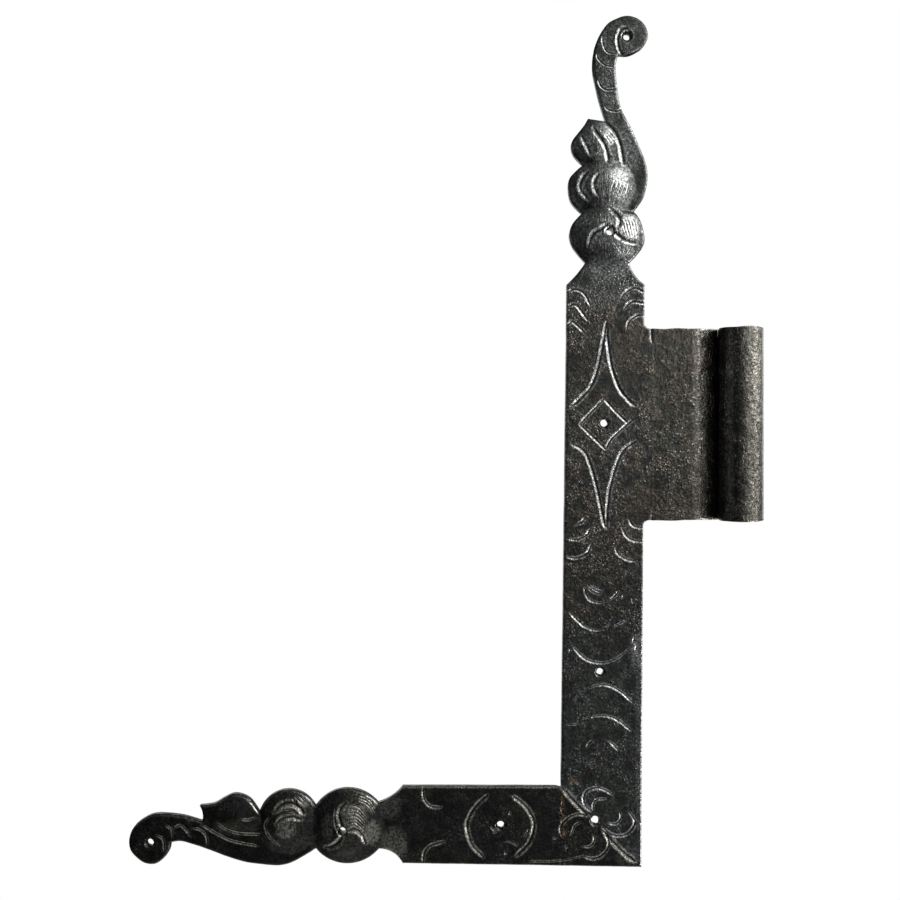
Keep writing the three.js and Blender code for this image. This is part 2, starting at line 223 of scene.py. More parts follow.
# Groups of brush-like file strokes, each between a first and a last one: first, last, how many
STROKE_FANS = [
    ([(9.7, 334.5), (10.6, 329.8), (12.2, 325.6)], [(15.2, 336.5), (17, 330.5), (17.8, 324.2)], 5),
    ([(5.5, 322.5), (8.8, 318.2)], [(14.8, 320.3), (11, 314.4)], 4),
    ([(6.2, 354.5), (4.4, 350.5), (3.8, 347)], [(13.4, 353), (11.8, 347.5), (9, 342.8)], 5),
    ([(3.2, 380), (6.6, 376)], [(1.2, 378), (4.6, 373.4)], 3),
    ([(-8, 144.6), (-4.6, 142), (-0.8, 141)], [(-5.6, 145.8), (-3, 144.4), (0.4, 143.6)], 3),
    ([(-131.3, 33.2), (-126, 31.8), (-121.8, 27.2)], [(-132.3, 23.8), (-127.6, 24.4), (-123, 20.2)], 6),
    ([(-127.2, 38), (-121.6, 35.8), (-117.4, 31.2)], [(-125.6, 35), (-121, 32.4), (-118.4, 28)], 3),
    ([(-157.4, 37.4), (-153, 33.4)], [(-160.4, 35.8), (-156, 31.8)], 3),
    ([(-164.8, 30.6), (-160.4, 31)], [(-163.4, 28.6), (-159, 29)], 2),
]
# Dents and scratches: middle, length and lean in degrees
MARKS = [
    ((-20.9, 33.5), 2.6, 80), ((-21.3, 29.8), 2.0, 100), ((-21, 22), 6.5, 93), ((-19.6, 17.2), 2.0, 70),
    ((-15.6, 44.2), 2.6, 35), ((-13.2, 43.4), 2.2, 150), ((-17.2, 46), 1.6, 60), ((-57, 19.8), 2.0, 140),
    ((-55.6, 18.2), 1.6, 20), ((-48, 27.8), 1.4, 70), ((-38.8, 18.4), 2.6, 60), ((-40, 16.8), 2.2, 65),
    ((-24.7, 15.2), 0.9, 30), ((-18.9, 10.3), 1.0, 120), ((-50.3, 7.2), 0.9, 90), ((16, 118), 3.0, 78),
    ((17.2, 113.5), 2.4, 82), ((15.4, 137.6), 1.4, 110), ((10.4, 140), 1.2, 60), ((-17, 112), 1.0, 90),
]
MOTIFS = [
    SPEARS, DIAMOND, CROWN_ARCS, BASE_ARCS, CRESCENTS, CRESCENT_TAILS, CORNER_CUTS, PETALS, PETAL_VEINS,
    FOOT_BRACKETS, FOOT_ARCS, UPRIGHT_VOLUTE, UPRIGHT_SCALES, UPRIGHT_LEAF, UPRIGHT_SWIRL, FOOT_VOLUTE,
    FOOT_LEAF, FOOT_SWIRL, FOOT_RINGS,
]
# Places rubbed towards bare metal, some of them painted highlights where light catches the bulbs and
# edges: middle, half sizes, how strongly
WEAR_AND_HIGHLIGHT_PATCHES = [
    ((8.2, 356.5), (6, 6.5), 0.75), ((3.6, 377.6), (4.5, 5), 0.5), ((14.8, 330.5), (5, 7.5), 0.6),
    ((11, 317.5), (6, 4.5), 0.7), ((11, 347), (5, 5.5), 0.3), ((3, 309), (15, 9), 0.25),
    ((0, 296), (16, 10), 0.12), ((17.5, 112), (5, 11), 0.5), ((18.5, 60), (2.2, 60), 0.2),
    ((-119, 18.5), (5, 8), 0.7), ((-121.5, 33.5), (5.5, 5), 0.5), ((-108, 11), (8.5, 12), 0.65),
    ((-163.5, 20.5), (6.5, 5.5), 0.8), ((-129, 27.5), (6.5, 6.5), 0.6), ((-154.5, 34), (3.5, 4), 0.5),
    ((14, 6), (9, 7), 0.2), ((-142, 22), (4.5, 7.5), 0.45), ((13.5, 372), (7, 22), 0.3),
    ((-110, 32), (7, 9), 0.35), ((4, 400), (8, 20), 0.15),
]
# Rust that has come through: the courses and the width of its stains
RUST_WIDTH = 2.4
RUST_STAINS = [
    [(-20.9, 37), (-21.2, 31), (-21, 23), (-20.4, 15.5)],
    [(-17.2, 46.5), (-14.6, 44.4), (-12.2, 43.4)],
]
# The notches between neighbouring bulbs run a little way in from the outline
CREASE = (5.0, 0.8, 0.8)
CREASES = [
    [(-15, 338.5), (-9, 340.3), (-3, 341)],
    [(18, 339.2), (12, 339.8), (7, 340.6)],
    [(-12.5, 363.5), (-7, 364.4), (-2, 364.2)],
    [(-149.2, 36.5), (-149.6, 31), (-149.8, 25)],
    [(-149, 6), (-149.4, 10.5), (-149.6, 15)],
    [(-177.4, 29.5), (-176.6, 25.5), (-176, 21)],
]
# Short ticks where the eye leaf's butt joint is left open at its two ends: height, reach, depth
TICKS = [(LEAF_ENDS[1], 8.5, 0.8), (LEAF_ENDS[0], 6.0, 0.25)]
TICK_WIDTH = 1.3


# ---------------- numbers
def smoothstep(low, high, value):
    t = np.clip((value - low) / (high - low), 0, 1)
    return t * t * (3 - 2 * t)


def lattice(column, row, seed):
    """A fixed pseudo-random number from -1 to 1 for each cell of an endless grid."""
    mixed = (column * 374761393 + row * 668265263 + seed * 974634777) & 0xFFFFFFFF
    mixed = ((mixed ^ (mixed >> 13)) * 1274126177) & 0xFFFFFFFF
    return ((mixed ^ (mixed >> 16)) & 0xFFFF) / 32767.5 - 1


def noise(x, y, wavelength, seed):
    """Smooth noise from about -1 to 1 over the plane."""
    u, v = np.asarray(x) / wavelength + 1000.5, np.asarray(y) / wavelength + 1000.5
    column, row = np.floor(u).astype(np.int64), np.floor(v).astype(np.int64)
    a, b = u - column, v - row
    a, b = a * a * (3 - 2 * a), b * b * (3 - 2 * b)
    low = lattice(column, row, seed) * (1 - a) + lattice(column + 1, row, seed) * a
    high = lattice(column, row + 1, seed) * (1 - a) + lattice(column + 1, row + 1, seed) * a
    return low * (1 - b) + high * b


def layered_noise(x, y, wavelength, seed, layers):
    parts = [noise(x, y, wavelength / 2**i, seed + i) / 2**i for i in range(layers)]
    return sum(parts) / sum(1 / 2**i for i in range(layers))


def lengths(vectors):
    return np.linalg.norm(vectors, axis=-1)


def circle(count):
    turn = np.linspace(0, 2 * np.pi, count, endpoint=False)
    return np.stack([np.cos(turn), np.sin(turn)], 1)


def roundover(gap, radius):
    """How far a rounded edge has dropped at a distance from the outline."""
    gap = np.clip(gap, 0, radius)
    return radius - np.sqrt(radius**2 - (radius - gap) ** 2)


# ---------------- outlines
def section_loops(node, point, normal):
    """The closed loops, in mm, where a plane cuts a CAD node, without points inside straight runs."""
    mesh = bmesh.new()
    mesh.from_mesh(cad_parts[node].data)
    bmesh.ops.remove_doubles(mesh, verts=mesh.verts, dist=1e-6)
    everything = mesh.verts[:] + mesh.edges[:] + mesh.faces[:]
    cut = bmesh.ops.bisect_plane(mesh, geom=everything, plane_co=point, plane_no=normal, dist=1e-8)
    links = {}
    for piece in cut["geom_cut"]:
        if isinstance(piece, bmesh.types.BMEdge):
            start, end = piece.verts
            links.setdefault(start, []).append(end)
            links.setdefault(end, []).append(start)
    loops = []
    while links:
        here = next(iter(links))
        loop = []
        while here in links:
            loop.append(np.array(here.co) / MM)
            onward = [v for v in links.pop(here) if v in links]
            here = onward[0] if onward else None
        loops.append(without_straight_points(np.array(loop)))
    mesh.free()
    return sorted(loops, key=len, reverse=True)


def without_straight_points(loop, least_turn=0.004):
    ahead, _ = headings(loop)
    behind = np.roll(ahead, 1, 0)
    return loop[np.linalg.norm(np.cross(behind, ahead), axis=1) > least_turn]


def signed_area(loop):
    after = np.roll(loop, -1, 0)
    return 0.5 * np.sum(loop[:, 0] * after[:, 1] - loop[:, 1] * after[:, 0])


def anticlockwise(loop):
    return loop if signed_area(loop) > 0 else loop[::-1]


def headings(loop):
    """The directions and lengths of a loop's sides."""
    ahead = np.roll(loop, -1, 0) - loop
    length = lengths(ahead)
    return ahead / length[:, None], length


def smooth_loop(loop, step):
    """A faceted loop resampled along smooth curves that keep its corners and straight stretches."""
    heading, length = headings(loop)
    arriving, before = np.roll(heading, 1, 0), np.roll(length, 1)
    turn = np.degrees(np.arccos(np.clip(np.sum(arriving * heading, 1), -1, 1)))
    tangent = arriving * length[:, None] + heading * before[:, None]
    tangent[before > STRAIGHT_LENGTH] = arriving[before > STRAIGHT_LENGTH]
    tangent[length > STRAIGHT_LENGTH] = heading[length > STRAIGHT_LENGTH]
    tangent /= lengths(tangent)[:, None]
    corner = turn > CORNER_TURN
    points = []
    for i in range(len(loop)):
        j = (i + 1) % len(loop)
        line = heading[i]
        leave, arrive = tangent[i], tangent[j]
        if length[i] > STRAIGHT_LENGTH or (corner[i] and corner[j]):
            leave = arrive = line
        elif corner[i]:
            leave = 2 * line * (line @ arrive) - arrive
        elif corner[j]:
            arrive = 2 * line * (line @ leave) - leave
        count = max(1, round(length[i] / step))
        t = (np.arange(count) / count)[:, None]
        points.append(
            (2 * t**3 - 3 * t**2 + 1) * loop[i] + (t**3 - 2 * t**2 + t) * length[i] * leave
            + (3 * t**2 - 2 * t**3) * loop[j] + (t**3 - t**2) * length[i] * arrive
        )
    return np.vstack(points)


def inward_normals(loop):
    """Unit normals to the left of a loop's course, which is the inside of an anticlockwise loop."""
    heading, _ = headings(loop)
    along = heading + np.roll(heading, 1, 0)
    along /= np.maximum(lengths(along), 1e-9)[:, None]
    return np.stack([-along[:, 1], along[:, 0]], 1)


def curve_through(points, step=0.5):
    """A smooth open curve through given points."""
    points = np.array(points, float)
    ends = [2 * points[0] - points[1], *points, 2 * points[-1] - points[-2]]
    samples = []
    for a, b, c, d in zip(ends, ends[1:], ends[2:], ends[3:]):
        count = max(2, round(lengths(c - b) / step))
        t = (np.arange(count) / count)[:, None]
        samples.append(0.5 * (2 * b + (c - a) * t + (2 * a - 5 * b + 4 * c - d) * t**2
                              + (3 * b - a - 3 * c + d) * t**3))
    return np.vstack([*samples, points[-1:]])


# ---------------- chiselled lines and their fields
class Groove:
    """One V-shaped line with ends that taper out, and the lips and rubbed shoulders beside it."""

    REACH = 1.7  # how far the lips reach from the middle, over the half width
    END_WIDTH = 0.45  # the width left at the ends, over the full width

    def __init__(self, points, width, depth, run_out=0.0, taper=3.0):
        self.course = curve_through(points)
        steps = lengths(np.diff(self.course, axis=0))
        self.travel = np.concatenate([[0], np.cumsum(steps)])
        self.half_width, self.depth, self.run_out, self.taper = width / 2, depth, run_out, taper

    def fullness(self, travel):
        """From 0 at the line's two ends to 1 along its middle, with a hammered unevenness."""
        total = self.travel[-1]
        taper = min(self.taper, 0.45 * total)
        ends = np.clip(np.minimum(travel + 0.4, total - travel + 0.4) / taper, 0, 1)
        uneven = 1 + 0.14 * noise(travel + self.course[0, 0], self.course[0, 1] + 0 * travel, 3.5, 5)
        return np.sqrt(ends) * uneven * (1 - self.run_out * smoothstep(0.3, 1, travel / total))

    def width_at(self, fullness):
        return self.half_width * (self.END_WIDTH + (1 - self.END_WIDTH) * fullness)

    def measure(self, points):
        """Where points lie by this line: index of those near it, offset over the half width, fullness."""
        reach = self.half_width * self.REACH + 0.1
        low, high = self.course.min(0) - reach, self.course.max(0) + reach
        near = np.where(np.all((points > low) & (points < high), axis=1))[0]
        start, step = self.course[:-1], np.diff(self.course, axis=0)
        away = points[near, None, :] - start[None]
        share = np.clip(np.sum(away * step, 2) / np.sum(step * step, 1), 0, 1)
        gap = lengths(away - share[..., None] * step)
        best = gap.argmin(1)
        rows = np.arange(len(near))
        travel = self.travel[best] + share[rows, best] * np.diff(self.travel)[best]
        fullness = self.fullness(travel)
        return near, gap[rows, best] / self.width_at(fullness), fullness

    def rows(self):
        """Points along the line and beside it, so that a mesh follows its V."""
        along = np.gradient(self.course, axis=0)
        along /= lengths(along)[:, None]
        side = np.stack([-along[:, 1], along[:, 0]], 1)
        width = self.width_at(self.fullness(self.travel))[:, None]
        return [self.course + share * width * side for share in (0, 1, -1, 0.5, -0.5, 1.6, -1.6)]


def fan(first, last, count):
    """Strokes shared out evenly from the first to the last."""
    first, last = np.array(first), np.array(last)
    return [first + (last - first) * number / (count - 1) for number in range(count)]


def mark(middle, length, lean):
    reach = 0.5 * length * np.array([math.cos(math.radians(lean)), math.sin(math.radians(lean))])
    return [middle - reach, np.array(middle), middle + reach]


GROOVES = [Groove(points, *chisel) for chisel, lines in MOTIFS for points in lines]
GROOVES += [Groove(points, *STROKE) for group in STROKE_FANS for points in fan(*group)]
GROOVES += [Groove(mark(*shape), *DENT) for shape in MARKS]
CREASE_LINES = [Groove(points, *CREASE, taper=6.0) for points in CREASES]
RUST_LINES = [Groove(points, RUST_WIDTH, 0.0) for points in RUST_STAINS]


def strongest(lines, points, profile, rows=1):
    """The rows that profile(line, offset, fullness) gives at each point, at their most over all lines."""
    result = np.zeros((rows, len(points)))
    for line in lines:
        near, offset, fullness = line.measure(points)
        result[:, near] = np.maximum(result[:, near], profile(line, offset, fullness))
    return result


def groove_profile(groove, offset, fullness):
    """Across a chiselled line: its depth, its lips, its trench (dark wax and painted shade in the bottom)
    and its rubbed shoulders.
    """
    walls, full = np.clip(1 - offset, 0, 1), np.clip(fullness, 0, 1)
    return [
        groove.depth * fullness * walls * (1 - 0.15 * walls),
        groove.depth * fullness * smoothstep(0.45, 0, np.abs(offset - 1.2)),
        # the trench: groove bottoms darkened in colour, partly dark wax and partly painted shade
        full * smoothstep(0.62, 0.3, offset),
        full * smoothstep(0.6, 0.25, np.abs(offset - 0.85)),
    ]


def groove_relief(points):
    """The chiselled lines' height on the face, their trenches (darkened by wax and painted shade) and
    their rubbed shoulders.
    """
    depth, lips, trench_wax_and_shade, shoulders = strongest(GROOVES, points, groove_profile, 4)
    return np.where(depth > 0, 0, 0.2 * lips) - depth, trench_wax_and_shade, shoulders * (1 - trench_wax_and_shade)


def crease_profile(crease, offset, fullness):
    return crease.depth * fullness * np.clip(1 - offset, 0, 1) ** 1.4


def stain_profile(stain, offset, fullness):
    return smoothstep(1.5, 0.2, offset)


def rubbing_and_highlights(points):
    """From 0 to 1 where hands and files have bared the metal, and where painted highlights stand in for
    light caught on the bulbs.
    """
    rub_and_highlight = np.zeros(len(points))
    for middle, sizes, strength in WEAR_AND_HIGHLIGHT_PATCHES:
        spread = np.sum(((points - middle) / sizes) ** 2, 1)
        rub_and_highlight = np.maximum(rub_and_highlight, strength * smoothstep(1.0, 0.1, spread))
    return rub_and_highlight


def bulb_relief(points):
    relief = np.zeros(len(points))
    for centre, radii, rise in BULBS:
        spread = np.sum(((points - centre) / radii) ** 2, 1)
        dome = rise * np.clip(1 - spread, 0, 1) ** BULB_FULLNESS
        relief = relief + dome - 0.5 * np.minimum(relief, dome)
    return relief


def forging(points):
    """The uneven, hammered face of the bars."""
    x, height = points.T
    hammered = (0.14 * noise(x, height, 26, 3) + 0.08 * noise(x, height, 9, 4)
                + 0.06 * layered_noise(x, height, 4.2, 11, 2))
    return hammered * smoothstep(STUB_EDGE, STUB_EDGE - 5, x)


def sink_relief(points, centres):
    """The small, uneven countersinks, each with a lip thrown up round it."""
    relief = np.zeros(len(points))
    for number, centre in enumerate(centres):
        away = points - centre
        reach = lengths(away)
        direction = away / np.maximum(reach, 1e-6)[:, None]
        rim = SINK_RADIUS + 0.3 * noise(*(1.6 * direction.T), 1.1, 40 + number)
        relief -= np.clip(rim - reach, 0, 2) * 0.85
        relief += 0.12 * np.clip(1 - np.abs(reach - rim - 0.35) / 0.5, 0, 1)
    return relief


def tick_opening(height):
    """How far the butt joint's edges are opened into a tick at each height."""
    opening = np.zeros(len(height))
    for end, reach, depth in TICKS:
        opening = np.maximum(opening, depth * smoothstep(reach, 0.5 * reach, np.abs(height - end)))
    return opening


# ---------------- meshes
def add_object(name, data):
    obj = bpy.data.objects.new(name, data)
    bpy.context.scene.collection.objects.link(obj)
    return obj


def build_object(name, points, faces, attributes=None):
    """A smooth-shaded object from arrays of points in mm, with vertex attributes for its material."""
    mesh = bpy.data.meshes.new(name)
    mesh.from_pydata((np.vstack(points) * MM).tolist(), [], faces)
    mesh.shade_smooth()
    mesh.set_sharp_from_angle(angle=math.radians(SHARP_ANGLE))
    for label, parts in (attributes or {}).items():
        values = np.concatenate(parts).astype(np.float32)
        mesh.attributes.new(label, "FLOAT", "POINT").data.foreach_set("value", values)
    mesh.validate()
    return add_object(name, mesh)


def fit_out(obj, node, body, material):
    """Puts a finished piece in the place of its CAD node."""
    obj.data.materials.append(material)
    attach(obj, body)
    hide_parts(node)


def bands(rings):
    """Four-sided faces between each ring of point numbers and the next."""
    faces = []
    for near, far in zip(rings, rings[1:]):
        faces += np.stack([near, far, np.roll(far, -1), np.roll(near, -1)], 1).tolist()
    return faces


class Sieve:
    """Keeps only points that stay a set distance from those kept before."""

    CELL = 0.65

    def __init__(self, loops):
        self.cells = {}
        self.add(np.vstack(loops), 0)

    def add(self, points, gap):
        kept = []
        for x, y in points.tolist():
            column, row = int(x // self.CELL), int(y // self.CELL)
            block = [(i, j) for i in (column - 1, column, column + 1) for j in (row - 1, row, row + 1)]
            close = (spot for cell in block for spot in self.cells.get(cell, ()))
            if all((a - x) ** 2 + (b - y) ** 2 >= gap * gap for a, b in close):
                self.cells.setdefault((column, row), []).append((x, y))
                kept.append((x, y))
        return np.array(kept).reshape(-1, 2)


def inside(points, loop):
    """Which points lie inside a loop, by counting the edges that a ray to the right crosses."""
    result = np.zeros(len(points), bool)
    after = np.roll(loop, -1, 0)
    run, rise = (after - loop).T
    for block in np.array_split(np.arange(len(points)), max(1, len(points) // 4000)):
        x, y = points[block, 0:1], points[block, 1:2]
        spans = (loop[:, 1] > y) != (after[:, 1] > y)
        with np.errstate(divide="ignore", invalid="ignore"):
            crossing = loop[:, 0] + (y - loop[:, 1]) * run / rise
        result[block] = np.sum(spans & (x < crossing), 1) % 2 == 1
    return result


def triangulate(loops, extra):
    """Triangles over a plate with holes. The loops' points come first, in order."""
    points = np.vstack([*loops, extra])
    edges, start, owner = [], 0, np.full(len(points), -1)
    for number, loop in enumerate(loops):
        count = len(loop)
        edges += [(start + i, start + (i + 1) % count) for i in range(count)]
        owner[start:start + count] = number
        start += count
    result = delaunay_2d_cdt([Vector(p) for p in points.tolist()], edges, [], 1, 1e-6)
    source = np.array([ids[0] for ids in result[3]])
    triangles = source[np.array(result[2])]
    hole = owner[triangles]
    in_hole = (hole[:, 0] > 0) & (hole[:, 0] == hole[:, 1]) & (hole[:, 1] == hole[:, 2])
    return points, triangles[~in_hole]


def hex_grid(outline, step):
    low, high = outline.min(0), outline.max(0)
    columns = np.arange(low[0], high[0], step)
    heights = np.arange(low[1], high[1], step * math.sqrt(3) / 2)
    grid = np.vstack([
        np.stack([columns + 0.5 * step * (row % 2), np.full(len(columns), height)], 1)
        for row, height in enumerate(heights)
    ])
    jitter = np.stack([noise(*grid.T, 0.9 * step, seed) for seed in (21, 22)], 1)
    return grid + 0.12 * step * jitter


def mitre_distance(points):
    """Signed distance across the mitre line, positive on the upright's side."""
    return (points - INNER_CORNER) @ MITRE_ACROSS


def hole_loop(centre, seed):
    """A punched hole's rim, run clockwise so that the metal is on its left."""
    ring = circle(30) * (1, -1)
    return centre + ring * (HOLE_RADIUS + 0.16 * noise(*(2.2 * ring.T), 1.3, seed))[:, None]


class Bar:
    """One forged bar's outline and screw holes, from its CAD node's section."""

    def __init__(self, node, side):
        """side is 1 for the upright and -1 for the foot, on either side of the mitre."""
        self.side = side
        loops = section_loops(node, (0, -0.75 * BAR_THICKNESS * MM, 0), (0, 1, 0))
        loops = [loop[:, [0, 2]] - [0, LOWER_EDGE] for loop in loops]
        faceted = max(loops, key=lambda loop: abs(signed_area(loop)))
        self.centres = sorted(tuple(loop.mean(0)) for loop in loops if loop is not faceted)
        self.outline = smooth_loop(anticlockwise(faceted), OUTLINE_STEP)
        self.close_seams()
        seam = self.mitre | self.stub
        self.still = seam | self.in_hole
        wobble = layered_noise(*self.outline.T, 11, 31, 3) * EDGE_WOBBLE * ~self.still
        self.inward = inward_normals(self.outline)
        self.outline = self.outline + wobble[:, None] * self.inward
        x, height = self.outline.T
        on_scroll = (height > SCROLL_STARTS[0]) | (x < SCROLL_STARTS[1])
        rounding = np.where(on_scroll, SCROLL_ROUNDING, EDGE_ROUNDING)
        self.rounding = np.where(seam, SEAM_ROUNDING, rounding)
        self.tree = kdtree.KDTree(len(self.outline))
        for i, (x, height) in enumerate(self.outline):
            self.tree.insert((x, height, 0), i)
        self.tree.balance()
        holes = [hole_loop(np.array(centre), 60 + i) for i, centre in enumerate(self.centres)]
        self.loops = [self.outline, *holes]

    def close_seams(self):
        """Moves the welded edges almost against their neighbours, and draws in the corner hole."""
        self.mitre = np.abs(mitre_distance(self.outline)) < 0.25
        self.outline = self.outline - np.outer(self.mitre, self.side * SEAM_CLOSING * MITRE_ACROSS)
        self.stub = np.abs(self.outline[:, 0] - STUB_EDGE) < 0.05
        self.outline[self.stub, 0] += SEAM_CLOSING
        away = self.outline - CORNER_HOLE
        self.in_hole = lengths(away) < SINK_RADIUS
        self.outline = self.outline - (1 - CORNER_HOLE_SHARE) * self.in_hole[:, None] * away

    def edge(self, points):
        """How far points are from the outline, and its rounding at the place nearest to them."""
        nearest = np.array([self.tree.find((x, height, 0))[1] for x, height in points.tolist()], int)
        count = len(self.outline)
        gaps = []
        for first in (nearest - 1, nearest):
            start, end = self.outline[first % count], self.outline[(first + 1) % count]
            step = end - start
            share = np.clip(np.sum((points - start) * step, 1) / np.sum(step * step, 1), 0, 1)
            gaps.append(lengths(points - start - share[:, None] * step))
        return np.minimum(*gaps), self.rounding[nearest]

    def mesh(self, rows):
        """Triangles over the bar from rows of (points, least gap between them, least gap to the edge)."""
        sieve = Sieve(self.loops)
        kept = []
        for row, gap, clearance in rows:
            row = row[inside(row, self.outline) & (self.edge(row)[0] > clearance)]
            for centre in self.centres:
                row = row[lengths(row - centre) > HOLE_RADIUS + HOLE_CLEARANCE]
            kept.append(sieve.add(row, gap))
        return triangulate(self.loops, np.vstack(kept))

    def front(self):
        """The chiselled face's points, triangles and vertex attributes."""
        sunk = [*self.centres, CORNER_HOLE]
        rows = []
        for share in EDGE_ROWS:
            reach = share * self.rounding
            rows.append((self.outline + self.inward * reach[:, None], 0.05, np.maximum(0.8 * reach, 0.01)))
        rows += [(centre + circle(32) * reach, 0.2, 0.3) for centre in sunk for reach in SINK_ROWS]
        rows += [(np.vstack(lines), 0.24, 0.25) for lines in zip(*[groove.rows() for groove in GROOVES])]
        rows.append((hex_grid(self.outline, GRID_STEP), 0.7 * GRID_STEP, 0.45))
        points, faces = self.mesh(rows)
        gap, radius = self.edge(points)
        grooves, trench_wax_and_shade, shoulders = groove_relief(points)
        bulbs = bulb_relief(points)
        tick = tick_opening(points[:, 1]) * np.clip(1 - (STUB_EDGE - points[:, 0]) / TICK_WIDTH, 0, 1)
        crease = strongest(CREASE_LINES, points, crease_profile)[0]
        height = (BAR_THICKNESS + forging(points) + bulbs - crease + grooves + sink_relief(points, sunk)
                  - roundover(gap, radius) - tick)
        edge = np.where(radius > 2 * SEAM_ROUNDING, smoothstep(1, 0.1, gap / radius), tick / TICKS[0][2])
        attributes = {
            "trench_wax_and_shade": trench_wax_and_shade,
            "shoulder": shoulders,
            "edge": np.where(radius > EDGE_ROUNDING, 0.3 * edge, edge),
            "bulb": np.clip(bulbs / 3, 0, 1),
            "rub_and_highlight": rubbing_and_highlights(points),
            "rust": strongest(RUST_LINES, points, stain_profile)[0],
        }
        return in_space(points, height), faces, attributes

    def back(self):
        """The plain rear face's points and triangles, with the grooves that the welds fill."""
        seam = INNER_CORNER + np.linspace(0, 1, 90)[:, None] * (OUTER_CORNER - INNER_CORNER)
        heights = np.linspace(*LEAF_ENDS, 120)
        rows = [self.outline + self.inward * reach for reach in (0.2, 0.5)]
        rows += [seam + self.side * depth * MITRE_ACROSS for depth in (0.1, MITRE_WELD_DEPTH)]
        rows.append(np.stack([np.full(len(heights), STUB_EDGE - STUB_WELD_LEG), heights], 1))
        grid = hex_grid(self.outline, BACK_STEP)
        points, faces = self.mesh([*((row, 0.12, 0.15) for row in rows), (grid, 0.6, 0.15)])
        gap, radius = self.edge(points)
        rounded = roundover(gap, np.minimum(BACK_ROUNDING, radius))
        hollow = np.maximum(0.07 + 0.06 * noise(*points.T, 17, 71) + rounded,
                            MITRE_WELD_DEPTH - np.abs(mitre_distance(points)))
        if self.stub.any():
            x, height = points.T
            beside = (height > LEAF_ENDS[0] - 0.5) & (height < LEAF_ENDS[1] + 0.5)
            hollow = np.where(beside, np.maximum(hollow, x - STUB_EDGE + STUB_WELD_LEG), hollow)
        return in_space(points, hollow), faces

    def wall(self, loop, front, back, share):
        """One ring of a slightly dented wall, at a share of the way from the front to the back."""
        ring = front * (1 - share) + back * share
        dent = 0.09 * noise(loop[:, 0] * 2 + loop[:, 1], ring[:, 1] * 2 + loop[:, 1], 2.6, 81)
        if loop is self.outline:
            dent = dent * ~self.still - HOLE_THROAT * self.in_hole
        else:
            dent -= HOLE_THROAT
        ring[:, [0, 2]] += inward_normals(loop) * dent[:, None]
        return ring

    def build(self, name):
        """The finished bar: front, back and the walls of its outline and holes."""
        front, front_faces, attributes = self.front()
        back, back_faces = self.back()
        points = [front, back]
        faces = front_faces.tolist() + (back_faces[:, ::-1] + len(front)).tolist()
        attributes = {label: [values, np.zeros(len(back))] for label, values in attributes.items()}
        total, start = len(front) + len(back), 0
        for loop in self.loops:
            ring = start + np.arange(len(loop))
            rings = [ring]
            for share in WALL_ROWS:
                points.append(self.wall(loop, front[ring], back[ring], share))
                for label, parts in attributes.items():
                    wear_and_sheen = WALL_WEAR if label == "edge" and loop is self.outline else 0.0
                    parts.append(np.full(len(loop), wear_and_sheen))
                rings.append(total + np.arange(len(loop)))
                total += len(loop)
            faces += bands([*rings, ring + len(front)])
            start += len(loop)
        return build_object(name, points, faces, attributes)


def in_space(points, depth):
    """Points of the front view set at a depth in front of the back face."""
    return np.stack([points[:, 0], -depth, points[:, 1] + LOWER_EDGE], 1)


def swept(node, direction, step, sculpt, name):
    """A CAD node's middle section carried along its length, with the surface shaped by sculpt.

    sculpt(section, outward, station, start, end) gives outward shifts, lengthwise shifts and wear; on the
    leaf that wear is painted sheen."""
    direction = np.array(direction, float)
    side = np.cross(direction, [0, 1, 0])
    corners = np.array([v.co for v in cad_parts[node].data.vertices]) / MM
    reach = corners @ direction
    start, end = reach.min(), reach.max()
    middle = corners.mean(0) + direction * ((start + end) / 2 - corners.mean(0) @ direction)
    loop = section_loops(node, Vector(middle * MM), Vector(direction))[0]
    section = smooth_loop(anticlockwise(np.stack([loop @ side, loop[:, 1]], 1)), step)
    outward = -inward_normals(section)
    between = np.linspace(start, end, max(3, round((end - start) / (1.3 * step))))[1:-1]
    stations = [(start + depth, pull) for depth, pull in END_ROUNDING]
    stations += [(station, 0.0) for station in between]
    stations += [(end - depth, pull) for depth, pull in reversed(END_ROUNDING)]
    count = len(section)
    points, edge, wear = [], [], []
    for station, pull in stations:
        shift, slide, wear_and_sheen = sculpt(section, outward, np.full(count, station), start, end)
        ring = section + outward * (shift - pull)[:, None]
        placed = np.outer(ring[:, 0], side) + np.outer(station + slide, direction)
        placed[:, 1] = ring[:, 1]
        points.append(placed)
        edge.append(np.full(count, min(1.0, pull / 0.18)))
        # wear holds real wear on the welds and painted sheen on the leaf
        wear.append(wear_and_sheen)
    rings = np.arange(len(stations) * count).reshape(-1, count)
    _, cap = triangulate([section], np.zeros((0, 2)))
    faces = bands(rings) + cap.tolist() + (cap[:, ::-1] + rings[-1, 0]).tolist()
    return build_object(name, points, faces, {"edge": edge, "wear_and_sheen": wear})


